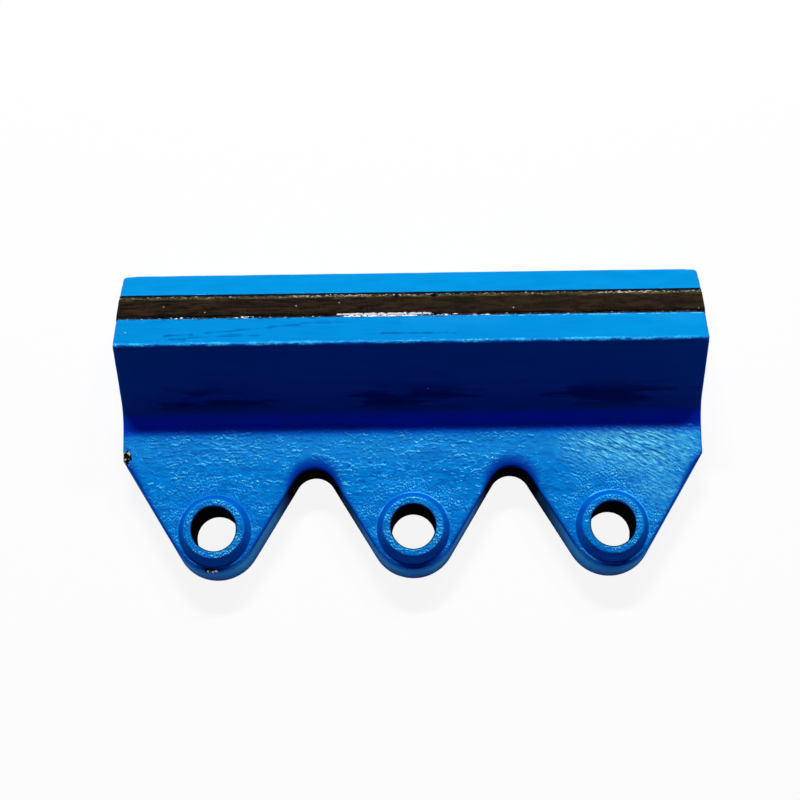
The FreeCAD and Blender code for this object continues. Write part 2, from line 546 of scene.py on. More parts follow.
def cast_skin(tree, place_mm, ripple_sizes, flow_sizes, pebble_size, pebble_height):
    """The skin's height over the plate: wrinkles far from the bolts and pebbles near them.

    ripple_sizes and flow_sizes are the length, the width and the height of the short ripples
    and of the long wrinkles that show where the metal flowed.
    """
    to_bolt = bolt_distance(tree, place_mm)
    near = zone(tree, (to_bolt, 34.0, 21.0))
    near = sum_of_spots(tree, place_mm, pebbled_patches, near, soft=0.8)
    near = add(tree, "ShaderNodeMath", {0: near, 1: 1.0}, operation="MINIMUM")[0]
    lively = sum_of_spots(tree, place_mm, lively_patches, calm_ripples, soft=0.8)
    calm = add(tree, "ShaderNodeMath", {0: lively, 1: -1.0}, operation="MULTIPLY")[0]
    ripples = wrinkles(tree, place_mm, *ripple_sizes[:2], calm, ripple_sizes[2])
    flowing = sum_of_spots(tree, place_mm, flow_patches, calm_flows, soft=0.8)
    calm = add(tree, "ShaderNodeMath", {0: flowing, 1: -1.0}, operation="MULTIPLY")[0]
    flows = wrinkles(tree, place_mm, *flow_sizes[:2], calm, flow_sizes[2])
    waved = add(tree, "ShaderNodeMath", {0: ripples, 1: flows}, operation="ADD")[0]
    grained = above(tree, grains(tree, place_mm, pebble_size), calm_pebbles, pebble_height)
    skin = add(tree, "ShaderNodeMix", {0: near, 2: waved, 3: grained})[0]
    off_top = zone(tree, (to_bolt, 14.8, 15.4, 1.0, 0.0))
    off_side = zone(tree, (to_bolt, 18.3, 18.9))
    rough = add(
        tree, "ShaderNodeMath", {0: off_top, 1: boss_roughness, 2: off_side},
        operation="MULTIPLY_ADD",
    )[0]
    return add(tree, "ShaderNodeMath", {0: skin, 1: rough}, operation="MULTIPLY")[0]


def cloud(tree, at_mm, size, detail=4.0):
    """Noise from 0 to 1 whose patches are about that size in millimetres."""
    spread = add(tree, "ShaderNodeVectorMath", {0: at_mm, 1: size}, operation="DIVIDE")[0]
    return add(
        tree, "ShaderNodeTexNoise",
        {"Vector": spread, "Scale": 1.0, "Detail": detail, "Roughness": 0.6},
    )[0]


# %% [markdown]
# The casting's finish is blue enamel, an alkyd machine paint sprayed thick over the bare sand-cast
# steel. It gives the eye a deep blue with glossy highlights that take the paint's own colour, so
# the paint is a little metallic under its thin clear top. Such a paint is never even. It could be
# one noise between two blues, but it follows the casting, and much light and shade is painted
# into it: painted shade in the undercut, on the bosses' sides and the tips, in the bores and the
# gap roots, painted glints on flanks and edges, and a painted reflection on the lugs' sides. So it
# is built in layers. Each layer is a zone of the bar, as a share from 0 to 1, and a colour, and
# these helpers make and lay them.

# %% Patches and layers


def patches(tree, place_mm, size, start, full, detail=4.0, least=0.0, most=1.0):
    """Random patches of about that size: least where their noise is low, most where it is high."""
    return zone(tree, (cloud(tree, place_mm, size, detail), start, full, least, most))


def layered(tree, colour, layers):
    """The colour under its layers, each a share and a colour, as a hex value or an output."""
    for share, over in layers:
        under, over = (linear(c) if isinstance(c, str) else c for c in (colour, over))
        colour = add(tree, "ShaderNodeMix", {0: share, 6: under, 7: over}, data_type="RGBA")[2]
    return colour


# %% [markdown]
# The leading face was ground flat before it was painted, which makes it smoother and lighter. It
# carries a few long scratches under the paint. They are listed one by one, because their places
# are a matter of chance: each is a line on that face, with noise that makes it wander.

# %% Marks on the leading face
down_the_face = Vector((0.0, leading_normal.z, -leading_normal.y))
insert_from_nose = 21.5
insert_mesh = frame["nodes"]["hard_metal_insert"].data
insert_near = min(
    insert_mesh.vertices[i].co.dot(down_the_face) for i in leading_face.vertices
) / MM
nose_at = insert_near - insert_from_nose
face_marks = [
    # from and to, each as millimetres along the bar and down the face from the nose, strength
    ((-101.5, 8.2), (-55.0, 13.9), 0.7),
    ((-122.0, 6.7), (-108.5, 7.4), 0.9),
    ((-119.3, 4.1), (-111.7, 4.0), 0.8),
    ((-109.6, 5.0), (-75.2, 6.2), 0.6),
    ((-55.1, 14.9), (-29.6, 15.2), 0.5),
    ((-14.4, 6.6), (22.2, 5.8), 0.8),
    ((-96.0, 6.6), (-84.0, 6.9), 0.5),
]
print("the nose corner lies", insert_from_nose, "mm before the insert;", len(face_marks), "marks")


def on_leading_face(tree, place_mm):
    """The place as (along the bar, down the face from the nose, 0)."""
    down = add(
        tree, "ShaderNodeVectorMath", {0: place_mm, 1: down_the_face}, operation="DOT_PRODUCT"
    )[1]
    down = add(tree, "ShaderNodeMath", {0: down, 1: -nose_at}, operation="ADD")[0]
    along = add(tree, "ShaderNodeSeparateXYZ", {0: place_mm})[0]
    return add(tree, "ShaderNodeCombineXYZ", {0: along, 1: down})[0]


def scratches(tree, on_face):
    """How strongly a place on the leading face lies in one of the marks, from 0 to 1."""
    wander = add(
        tree, "ShaderNodeTexNoise", {"Vector": on_face, "Scale": 0.12, "Detail": 3.0},
        normalize=False,
    )[0]
    total = 0.0
    for start, end, strength in face_marks:
        run = Vector((end[0] - start[0], end[1] - start[1], 0.0))
        offset = add(
            tree, "ShaderNodeVectorMath", {0: on_face, 1: (*start, 0.0)}, operation="SUBTRACT"
        )[0]
        share = add(
            tree, "ShaderNodeVectorMath", {0: offset, 1: run / run.length_squared},
            operation="DOT_PRODUCT",
        )[1]
        share = add(
            tree, "ShaderNodeMath", {0: share, 1: 0.0}, operation="ADD", use_clamp=True
        )[0]
        foot = add(tree, "ShaderNodeVectorMath", {0: run, "Scale": share}, operation="SCALE")[0]
        away = add(tree, "ShaderNodeVectorMath", {0: offset, 1: foot}, operation="DISTANCE")[1]
        away = add(tree, "ShaderNodeMath", {0: away, 1: wander}, operation="SUBTRACT")[0]
        total = either(tree, total, zone(tree, (away, 0.75, 0.15, 0.0, strength)))
    return total


# %% [markdown]
# Every layer needs to know where a point lies and which way it faces. These are worked out once,
# in millimetres on the bar and from its surface normal, never from the camera, so that the paint
# stays on the bar when it is seen from another side.

# %% Places in the paint


def paint_places(tree):
    """Where a point of the casting lies and faces, and the zones that several layers share."""
    mm = surface_mm(tree)
    normal = add(tree, "ShaderNodeNewGeometry")["Normal"]
    towards = add(
        tree, "ShaderNodeVectorMath", {0: normal, 1: leading_normal}, operation="DOT_PRODUCT"
    )[1]
    x, y, z = add(tree, "ShaderNodeSeparateXYZ", {0: mm})
    facing_x, facing_y, up = add(tree, "ShaderNodeSeparateXYZ", {0: normal})
    on_face = on_leading_face(tree, mm)
    along, down = add(tree, "ShaderNodeSeparateXYZ", {0: on_face})[:2]
    half_pitch = bolt_pitch / MM / 2
    from_gap = add(
        tree, "ShaderNodeVectorMath", {0: mm, 1: (half_pitch, -gap_root_y, 0.0)}, operation="ADD"
    )[0]
    to_bolt = bolt_distance(tree, mm)
    return SimpleNamespace(
        mm=mm, x=x, y=y, z=z, facing_x=facing_x, facing_y=facing_y, up=up, towards=towards,
        on_face=on_face, along=along, down=down, flow=along_flow(tree, mm),
        to_bolt=to_bolt, to_gap=bolt_distance(tree, from_gap),
        tip=zone(tree, (y, -8.0, -14.0, 0.0, 0.8), (to_bolt, 18.5, 18.9)),
        plate=zone(tree, (up, 0.88, 0.95)),
        ground=zone(tree, (towards, 0.94, 0.985)),
        patch=patches(tree, mm, (20.0, 5.0, 5.0), 0.36, 0.64),
    )


# %% [markdown]
# The skin's finest wrinkles and pebbles are smaller than the mesh can carry, so they are bump. The
# same height, read again one small step towards the head, tells which flanks of the relief face
# the head. Those catch the light, and glints are painted on them, so the paint needs to know them.

# %% Relief too fine for the mesh
nose_mm = Vector((0.0, crest.y / MM, crest.z / MM - 0.8))
bore_mm = bolt_radius / MM
ripple_size = (3.4, 1.25)
flow_size = (10.0, 2.0)
pebble_size = 1.4
ripple_height, flow_height, pebble_height = 0.30, 0.45, 0.22
fine_skin = ((3.0, 1.3, 0.32), (*flow_size, 0.75), 1.0, 0.27)
head_step = (0.2, 0.7, 0.0)
scratch_depth = 0.12
print("wrinkles are", fine_skin[0][:2], "mm as bump and", ripple_size, "mm in the mesh")


def fine_relief(tree, at, marked):
    """The bump's height, and on the plate how far it falls off in one step towards the head."""
    fine = cast_skin(tree, at.mm, *fine_skin)
    ahead = add(tree, "ShaderNodeVectorMath", {0: at.mm, 1: head_step}, operation="ADD")[0]
    ahead = cast_skin(tree, ahead, *fine_skin)
    flank = add(tree, "ShaderNodeMath", {0: fine, 1: ahead}, operation="SUBTRACT")[0]
    flank = add(tree, "ShaderNodeMath", {0: flank, 1: at.plate}, operation="MULTIPLY")[0]
    elsewhere = add(
        tree, "ShaderNodeMath", {0: grains(tree, at.mm, 1.6), 1: 0.05}, operation="MULTIPLY"
    )[0]
    height = add(tree, "ShaderNodeMix", {0: at.plate, 2: elsewhere, 3: fine})[0]
    smooth = zone(tree, (at.ground, 0.0, 1.0, 1.0, 0.12))
    height = add(tree, "ShaderNodeMath", {0: height, 1: smooth}, operation="MULTIPLY")[0]
    sunk = add(tree, "ShaderNodeMath", {0: marked, 1: scratch_depth}, operation="MULTIPLY")[0]
    height = add(tree, "ShaderNodeMath", {0: height, 1: sunk}, operation="SUBTRACT")[0]
    return height, flank


# %% [markdown]
# On the cast skin the blue is mottled, with long darker runs where the spray flowed, and it is
# paler near the nose; at the right end it carries painted glints in pale streaks. On the ground
# face it is light and even, a little duller and streaked between the nose and the insert, and it
# ends in dashes beside the filler: painted shade at the paint's cut edge, and towards the right
# end painted glints on its lip.

# %% Paint on the plate and on the leading face


def plate_paint(tree, at):
    mottle = patches(tree, at.mm, (3.6, 1.8, 1.8), 0.36, 0.64, 2.0)
    mottled = layered(tree, "#0060B4", [(mottle, "#0096E8")])
    runs = patches(tree, at.flow, (24.0, 1.9, 1.9), 0.55, 0.68, 2.0, most=0.6)
    # Painted glints: pale streaks in the patches near the right end.
    glint_patch_share = sum_of_spots(tree, at.mm, glint_patches, 0.0, soft=0.8)
    glint_streaks = patches(tree, at.flow, (4.0, 1.1, 1.1), 0.46, 0.60, 3.0, least=0.1)
    return layered(tree, "#0074C8", [
        (at.patch, "#008CE2"),
        (zone(tree, (at.plate, 0.0, 1.0, 0.15, 0.45)), mottled),
        (zone(tree, runs, at.plate), "#0058B0"),
        (zone(tree, (at.y, 30.0, 40.0, 0.0, 0.2), at.plate), "#30ACF4"),
        (zone(tree, glint_patch_share, glint_streaks, at.plate), "#68DCF8"),
    ])


def face_paint(tree, at):
    nose_side = zone(tree, (at.down, 24.0, 20.0), (at.along, 105.0, 60.0, 0.0, 0.45))
    streaks = patches(tree, at.on_face, (34.0, 0.9, 1.0), 0.60, 0.72, 2.0)
    dashes = patches(tree, at.mm, (4.0, 4.0, 4.0), 0.46, 0.56, 2.0)
    beside_filler = zone(tree, (at.down, 18.1, 18.6), (at.down, 19.7, 19.6))
    # Painted shade at the paint's cut edge, and towards the right end painted glints on its lip.
    edge_shade_and_glint = layered(tree, "#003A48", [(zone(tree, (at.along, 15.0, 45.0)), "#60C8F4")])
    return layered(tree, "#0088C8", [
        (at.patch, "#008FD2"),
        (nose_side, "#007FC4"),
        (zone(tree, streaks, nose_side), "#004E9C"),
        (zone(tree, dashes, beside_filler), edge_shade_and_glint),
    ])


# %% [markdown]
# The undercut and the fillet below it are painted darker, as painted shade, with the deepest blue
# at the fillet's foot and in clouds behind the bolts.

# %% Painted shade in the undercut


def undercut_shade_zone(tree, at):
    """The undercut face and its fillet, down to the fillet's foot on the plate."""
    upwards = zone(tree, (at.up, 0.2, 0.4))
    face = zone(tree, (at.facing_y, -0.04, -0.35), upwards)
    foot = add(
        tree, "ShaderNodeMapRange", {0: at.y, 1: 46.3, 2: 54.0}, interpolation_type="SMOOTHSTEP"
    )[0]
    foot = zone(tree, foot, (at.towards, 0.95, 0.9), upwards, (at.y, 86.0, 84.0))
    return either(tree, face, foot)


def undercut_shade_paint(tree, at):
    half_pitch = bolt_pitch / MM / 2
    off_bolt = add(
        tree, "ShaderNodeMath", {0: at.x, 1: half_pitch, 2: -half_pitch}, operation="WRAP"
    )[0]
    off_bolt = add(tree, "ShaderNodeMath", {0: off_bolt}, operation="ABSOLUTE")[0]
    # Painted shade, in clouds behind the bolts.
    behind_bolt = zone(tree, (off_bolt, 38.0, 14.0, -0.14, 0.10))
    shade_clouds = cloud(tree, at.mm, (30.0, 5.0, 5.0), 3.0)
    shade_clouds = add(tree, "ShaderNodeMath", {0: shade_clouds, 1: behind_bolt}, operation="ADD")[0]
    shade_clouds = zone(tree, (shade_clouds, 0.48, 0.60, 0.0, 0.8), (at.z, 25.0, 29.0), (at.z, 42.0, 34.0))
    # Painted shade: the undercut darker than the rest of the bar, deepest at the fillet's foot.
    return layered(tree, "#0048A4", [
        (zone(tree, (at.z, 26.0, 23.3), (at.y, 36.0, 44.0, 0.3)), "#0048FF"),
        (patches(tree, at.mm, (32.0, 7.0, 7.0), 0.42, 0.62, 3.0, most=0.3), "#0054B4"),
        (shade_clouds, "#002468"),
    ])


# %% [markdown]
# On the lugs the bosses' sides and the tips are painted darker, as painted shade, the lugs' own
# sides are painted paler, as a painted reflection of the floor, and a light line along a tip's
# rim is a painted highlight.

# %% Paint on the lugs


def lug_layers(tree, at):
    # Painted shade on the bosses' sides.
    boss_side_shade = zone(tree, (at.to_bolt, 15.2, 15.6), (at.to_bolt, 18.5, 18.2), (at.z, 21.5, 21.9))
    sideways = add(tree, "ShaderNodeMath", {0: at.facing_x}, operation="ABSOLUTE")[0]
    # Painted reflection of the floor: the lugs' sides are paler.
    side_reflection = zone(
        tree, (sideways, 0.1, 0.6, 0.1, 0.85), (at.up, 0.45, 0.15), (at.z, 0.0, 13.0, 0.05),
        (at.y, 40.0, 30.0),
    )
    # Painted highlight along a tip's rim.
    rim_highlight = zone(tree, (at.up, 0.25, 0.45, 0.0, 0.8), (at.up, 0.85, 0.7), at.tip)
    return [
        (boss_side_shade, layered(tree, "#005AC0", [(at.patch, "#0068CC")])),
        (side_reflection, "#20B0F0"),
        # Painted shade on the tips.
        (zone(tree, at.tip, at.plate), "#0048B4"),
        (rim_highlight, "#38B4F4"),
    ]


# %% [markdown]
# Glints are painted into the colour: the flanks of the relief that face the head are painted
# pale, most of all the steepest of them, and so are the ring at a boss's foot and the nose's edge.
# The noise below gathers these painted glints in clusters. The flanks that face away are painted a
# darker blue, as painted shade.

# %% Painted glints and shade on the relief


def foot_ring_glint(tree, at):
    """The ring at a boss's foot, on its head side and before the lug's tip, where a glint is
    painted.
    """
    radius = zone(tree, (at.y, 0.0, -14.0, 18.55, 19.0))
    off_ring = add(tree, "ShaderNodeMath", {0: at.to_bolt, 1: radius}, operation="SUBTRACT")[0]
    off_ring = add(tree, "ShaderNodeMath", {0: off_ring}, operation="ABSOLUTE")[0]
    head_side = zone(tree, (at.y, 0.0, 9.0))
    tip_side = zone(tree, (at.y, -12.0, -15.0, 0.0, 0.9))
    sides = add(tree, "ShaderNodeMath", {0: head_side, 1: tip_side}, operation="ADD")[0]
    return zone(tree, (off_ring, 0.45, 0.15, 0.0, 0.9), sides, (at.up, 0.6, 0.8))


def glint_and_shade_zones(tree, at, flank, undercut_shade):
    """Shares of painted flank shade, painted glints, brightest glints and the nose's glint."""
    clusters = patches(tree, at.mm, (13.0, 5.0, 5.0), 0.44, 0.58, 3.0, least=0.08)
    glint_scatter = add(tree, "ShaderNodeTexNoise", {"Vector": at.mm, "Scale": 1.1, "Detail": 2.0})[0]
    glint_scatter = zone(tree, (glint_scatter, 0.40, 0.52, 0.25), clusters)
    # Painted shade on flanks that face away, painted glints on those that face the head.
    flank_shade = zone(tree, (flank, -0.015, -0.08, 0.0, 0.6))
    painted_glints = zone(tree, (flank, 0.012, 0.055), glint_scatter)
    sparkle = patches(tree, at.mm, (4.0, 2.2, 2.2), 0.54, 0.64, 2.0, most=0.9)
    brightest_glints = either(tree, zone(tree, (flank, 0.075, 0.16, 0.0, 0.9)), zone(tree, sparkle, painted_glints))
    shaded_zones = either(tree, undercut_shade, zone(tree, at.tip, at.plate))
    unshaded_zones = add(tree, "ShaderNodeMath", {0: 1.0, 1: shaded_zones}, operation="SUBTRACT")[0]
    # Painted glints along the nose's edge and on the ring at a boss's foot.
    nose = zone(tree, (nose_distance(tree, at.mm, nose_mm), 1.3, 0.8), glint_scatter)
    ring_glint = zone(tree, foot_ring_glint(tree, at), clusters)
    painted_glints = either(tree, zone(tree, painted_glints, unshaded_zones), ring_glint, nose)
    return flank_shade, painted_glints, zone(tree, brightest_glints, clusters, unshaded_zones), nose


# %% [markdown]
# The bores and the walls of the gap roots are painted nearly black, as painted shade, and a
# darker blue round the roots' edges is painted shade too. On the right side of a gap the dark
# wall runs longer. In the chips the bare steel shows, dark with bright grains.

# %% Painted shade in bores and gap roots, and chips


def deep_shade_zone(tree, at, between_lugs):
    # Painted shade: the bores and the walls of the gap roots are nearly black.
    bore = zone(tree, (at.to_bolt, bore_mm + 0.9, bore_mm + 0.4))
    root = zone(tree, (at.to_gap, 26.0, 13.0))
    long_root = zone(tree, (at.to_gap, 42.0, 22.0, 0.0, 0.8), (at.facing_x, -0.3, -0.6))
    walls = zone(tree, either(tree, root, long_root), (at.up, 0.75, 0.25), between_lugs)
    return either(tree, bore, walls)


def chip_layer(tree, at):
    """The share and the colour of bare steel."""
    bare = sum_of_spots(
        tree, at.mm, [(place, half, 1.0) for place, half, depth in chips], 0.0,
        ragged=ragged_edge(tree, at.mm),
    )
    fleck = add(tree, "ShaderNodeTexNoise", {"Vector": at.mm, "Scale": 0.6, "Detail": 2.0})[0]
    steel = add(tree, "ShaderNodeValToRGB", {0: fleck})[0]
    stops = tree.nodes[-1].color_ramp.elements
    stops[0].position, stops[0].color = 0.57, linear("#060606")
    stops[1].position, stops[1].color = 0.62, linear("#C8C4B0")
    return zone(tree, (bare, 0.25, 0.45)), steel


# %% [markdown]
# Now the enamel itself: all layers in their order, from the first coat to the chips, with the
# painted light and shade among them. Its clear top shows most at a grazing angle. It is dull in
# the bores, in the undercut and on the nose's painted glint.

# %% Blue enamel


def blue_enamel():
    material, tree = new_material("blue_enamel")
    at = paint_places(tree)
    marked = zone(tree, scratches(tree, at.on_face), at.ground)
    height, flank = fine_relief(tree, at, marked)
    # Painted shade in the undercut and its fillet.
    undercut_shade = undercut_shade_zone(tree, at)
    flank_shade, painted_glints, brightest_glints, nose = glint_and_shade_zones(tree, at, flank, undercut_shade)
    cell = add(tree, "ShaderNodeTexVoronoi", {"Vector": at.mm, "Scale": 1 / 26.0})[0]
    from_middle = add(tree, "ShaderNodeMath", {0: at.x}, operation="ABSOLUTE")[0]
    between_lugs = zone(tree, (from_middle, 100.0, 90.0))
    # Painted shade in the bores and the gap roots.
    deep_shade = deep_shade_zone(tree, at, between_lugs)
    bare, steel = chip_layer(tree, at)
    colour = layered(tree, plate_paint(tree, at), [
        (at.ground, face_paint(tree, at)),
        (undercut_shade, undercut_shade_paint(tree, at)),
        *lug_layers(tree, at),
        (zone(tree, marked, 0.95), "#0058A0"),
        (zone(tree, (cell, 0.018, 0.010, 0.0, 0.7)), "#C8DCEC"),
        # Painted shade and painted glints on the relief's flanks.
        (flank_shade, "#0058B4"),
        (painted_glints, "#38C4FF"),
        (brightest_glints, "#88F0FF"),
        # Painted shade round the gap roots' edges.
        (zone(tree, (at.to_gap, 15.5, 11.5, 0.0, 0.8), between_lugs), "#0038A8"),
        (deep_shade, "#040308"),
        (bare, steel),
    ])
    grazing = add(tree, "ShaderNodeLayerWeight", {0: 0.5})["Facing"]
    gloss = zone(
        tree, (grazing, 0.35, 0.8, 0.03, 0.22), (deep_shade, 0.0, 1.0, 1.0, 0.0),
        (nose, 0.0, 1.0, 1.0, 0.1), (undercut_shade, 0.0, 1.0, 1.0, 0.1),
    )
    bump = add(tree, "ShaderNodeBump", {"Strength": 1.0, "Distance": MM, "Height": height})[0]
    surface = add(
        tree, "ShaderNodeBsdfPrincipled",
        {
            "Base Color": colour, "Metallic": zone(tree, (bare, 0.0, 1.0, 0.025, 0.5)),
            "Roughness": 0.13, "Specular IOR Level": 0.0, "Normal": bump,
            "Coat Weight": gloss, "Coat Roughness": 0.13, "Coat IOR": 1.5, "Coat Normal": bump,
        },
    )[0]
    add(tree, "ShaderNodeOutputMaterial", {0: surface})
    print("blue enamel has", len(tree.nodes), "nodes")
    return material


# %% [markdown]
# The relief that the mesh can carry is pressed into the net along its normals. A Geometry Nodes
# tree does this, since every part of it is a rule of the place: the same skin as the bump, only
# coarser, a slow sway of the whole surface, lumps on the nose's edge, and the dents and chips. Off
# the plate the relief only goes inwards, because the back rests on the floor and the nose and the
# ends give the bar its size.

# %% The relief tree
relief = new_geometry_tree(
    "sand_cast_relief",
    {
        "Ripple length": "Float", "Ripple width": "Float", "Ripple height": "Float",
        "Flow length": "Float", "Flow width": "Float", "Flow height": "Float",
        "Pebble size": "Float", "Pebble height": "Float", "Sway height": "Float",
        "Edge height": "Float", "Edge grain": "Float", "Nose": "Vector", "Finish": "Material",
    },
)
given = add(relief, "NodeGroupInput")
place = add(relief, "GeometryNodeInputPosition")[0]
place_mm = add(relief, "ShaderNodeVectorMath", {0: place, "Scale": 1 / MM}, operation="SCALE")[0]
normal = add(relief, "GeometryNodeInputNormal")[0]
facing_up = add(relief, "ShaderNodeSeparateXYZ", {0: normal})[2]
on_plate = zone(relief, (facing_up, 0.90, 0.98))
skin = cast_skin(
    relief, place_mm,
    (given["Ripple length"], given["Ripple width"], given["Ripple height"]),
    (given["Flow length"], given["Flow width"], given["Flow height"]),
    given["Pebble size"], given["Pebble height"],
)
skin = add(relief, "ShaderNodeMath", {0: skin, 1: on_plate}, operation="MULTIPLY")[0]

sway_size = 22.0
sway = grains(relief, place_mm, sway_size)
sway = add(relief, "ShaderNodeMath", {0: sway, 1: given["Sway height"]}, operation="MULTIPLY")[0]

off_nose = nose_distance(relief, place_mm, given["Nose"])
lumps = grains(relief, place_mm, given["Edge grain"])
lumps = add(relief, "ShaderNodeMath", {0: lumps, 1: given["Edge height"]}, operation="MULTIPLY")[0]
lumps = zone(relief, lumps, (off_nose, 3.2, 1.2))

height = add(relief, "ShaderNodeMath", {0: skin, 1: sway}, operation="ADD")[0]
height = add(relief, "ShaderNodeMath", {0: height, 1: lumps}, operation="ADD")[0]
hollows = [(place, half, -depth) for place, half, depth in dents + chips]
height = sum_of_spots(relief, place_mm, hollows, height, ragged=ragged_edge(relief, place_mm))
inwards = add(relief, "ShaderNodeMath", {0: height, 1: 0.0}, operation="MINIMUM")[0]
height = add(relief, "ShaderNodeMix", {0: on_plate, 2: inwards, 3: height})[0]
push = add(relief, "ShaderNodeVectorMath", {0: normal, "Scale": height}, operation="SCALE")[0]
push = add(relief, "ShaderNodeVectorMath", {0: push, "Scale": MM}, operation="SCALE")[0]
pressed = add(relief, "GeometryNodeSetPosition", {"Geometry": given["Geometry"], "Offset": push})[0]
pressed = add(relief, "GeometryNodeRealizeInstances", {"Geometry": pressed})[0]
pressed = add(
    relief, "GeometryNodeSetMaterial", {"Geometry": pressed, "Material": given["Finish"]}
)[0]
add(relief, "NodeGroupOutput", {0: pressed})
print("relief tree has", len(relief.nodes), "nodes")

# %% [markdown]
# The pressed net holds more triangles than most_triangles. Collapsing edges where the surface
# is nearly flat keeps them for the relief.

# %% The casting's skin
most_triangles = 190000
skin_sizes = {
    "Ripple length": ripple_size[0], "Ripple width": ripple_size[1], "Ripple height": ripple_height,
    "Flow length": flow_size[0], "Flow width": flow_size[1], "Flow height": flow_height,
    "Pebble size": pebble_size, "Pebble height": pebble_height, "Sway height": 0.15,
    "Edge height": 0.6, "Edge grain": 1.8, "Nose": nose_mm, "Finish": blue_enamel(),
}
casting_mesh = run_tree(casting_net, relief, skin_sizes, "casting_skin")


def thinned(mesh, most, name):
    """The mesh with edges collapsed until it has at most that many triangles."""
    triangles = sum(len(p.vertices) - 2 for p in mesh.polygons)
    return modified(mesh, name, "DECIMATE", {"ratio": min(1.0, most / triangles)})


def finish_mesh(mesh, sharp_angle):
    """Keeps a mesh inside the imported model's box, and shades it smooth up to an angle."""
    move_points(mesh, np.clip(points_of(mesh), cad_low, cad_high))
    mesh.shade_smooth()
    mesh.set_sharp_from_angle(angle=math.radians(sharp_angle))


casting_mesh = thinned(casting_mesh, most_triangles, "casting_skin")
casting_sharp_angle, carried_sharp_angle = 70.0, 50.0
finish_mesh(casting_mesh, casting_sharp_angle)
show(casting_mesh, "casting_skin", "root", "blue_enamel", "bar_casting")

# %% [markdown]
# The insert and its two brazing beads are straight: one outline carried along the bar. Curve to
# Mesh does that from the CAD piece's own end outline. The path's stations and the outline's
# points lie close enough for relief, which one tree serves with different sizes.

# %% The sweep tree
sweep = new_geometry_tree(
    "carried_outline",
    {
        "Outline": "Object", "Start": "Vector", "End": "Vector", "Station": "Float",
        "Lump height": "Float", "Lump size": "Vector", "Finish": "Material",
    },
)
given = add(sweep, "NodeGroupInput")
path = add(
    sweep, "GeometryNodeCurvePrimitiveLine", {"Start": given["Start"], "End": given["End"]}
)[0]
path = add(
    sweep, "GeometryNodeResampleCurve", {"Curve": path, "Length": given["Station"]}, mode="LENGTH"
)[0]
outline = add(sweep, "GeometryNodeObjectInfo", {"Object": given["Outline"]})["Geometry"]
outline_cuts = 6
outline = add(sweep, "GeometryNodeSubdivideCurve", {0: outline, 1: outline_cuts})[0]
bar = add(
    sweep, "GeometryNodeCurveToMesh", {"Curve": path, "Profile Curve": outline, "Fill Caps": True}
)[0]
place = add(sweep, "GeometryNodeInputPosition")[0]
place_mm = add(sweep, "ShaderNodeVectorMath", {0: place, "Scale": 1 / MM}, operation="SCALE")[0]
normal = add(sweep, "GeometryNodeInputNormal")[0]
spread = add(
    sweep, "ShaderNodeVectorMath", {0: place_mm, 1: given["Lump size"]}, operation="DIVIDE"
)[0]
lump = add(
    sweep, "ShaderNodeTexNoise", {"Vector": spread, "Scale": 1.0, "Detail": 3.0}, normalize=False
)[0]
lump = add(sweep, "ShaderNodeMath", {0: lump, 1: given["Lump height"]}, operation="MULTIPLY")[0]
push = add(sweep, "ShaderNodeVectorMath", {0: normal, "Scale": lump}, operation="SCALE")[0]
push = add(sweep, "ShaderNodeVectorMath", {0: push, 1: (0.0, MM, MM)}, operation="MULTIPLY")[0]
bar = add(sweep, "GeometryNodeSetPosition", {"Geometry": bar, "Offset": push})[0]
bar = add(sweep, "GeometryNodeRealizeInstances", {"Geometry": bar})[0]
bar = add(sweep, "GeometryNodeSetMaterial", {"Geometry": bar, "Material": given["Finish"]})[0]
add(sweep, "NodeGroupOutput", {0: bar})
print("sweep tree has", len(sweep.nodes), "nodes")


def outline_curve(corners, name):
    """A closed curve object through (y, z) corners, turned as Curve to Mesh reads a profile."""
    curve = bpy.data.curves.new(name, "CURVE")
    line = curve.splines.new("POLY")
    line.points.add(len(corners) - 1)
    for point, (y, z) in zip(line.points, corners):
        point.co = (-y, -z, 0.0, 1.0)
    line.use_cyclic_u = True
    made = bpy.data.objects.new(name, curve)
    scene.collection.objects.link(made)
    return made


def carried(node, sizes, finish):
    """A straight CAD piece rebuilt as its end outline carried along the bar."""
    outline = outline_curve(end_outline(node), node + "_outline")
    low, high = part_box(node)
    empty = bpy.data.meshes.new(node + "_start")
    settings = {
        "Outline": outline, "Start": (low.x, 0.0, 0.0), "End": (high.x, 0.0, 0.0),
        "Finish": finish, **sizes,
    }
    made = run_tree(empty, sweep, settings, node + "_carried")
    bpy.data.objects.remove(outline)
    finish_mesh(made, carried_sharp_angle)
    return made


# %% [markdown]
# The hard metal is sintered tungsten carbide grit in a steel matrix, brazed in as it came from the
# furnace. That gives the eye a dull brown-black strip with rusty and olive clouds, dark smudges
# along it, fine marks across it and a few bright grains. Its far edge keeps an olive crust and two
# pits that the flux left. Its near edge is painted darker, as painted shade, and over a part of it
# bright filler is smeared, painted as bright as a glint.

# %% Hard metal
flux_pits = [
    # places beside the insert's far edge, each as (along the bar, down the face), and half sizes
    ((-6.9, 35.6), (1.4, 1.3)),
    ((12.1, 35.6), (2.2, 1.4)),
]


def pit_layers(tree, on_face, pits, nearer, soft):
    """A black layer for each pit. nearer moves the pits towards the nose, in millimetres."""
    layers = []
    for (x, down), half in pits:
        hole = spot(tree, on_face, (x, down - nearer, 0.0), (*half, 1.0), 1.0, soft=soft)
        layers.append((zone(tree, (hole, 0.2, 0.8)), "#010101"))
    return layers


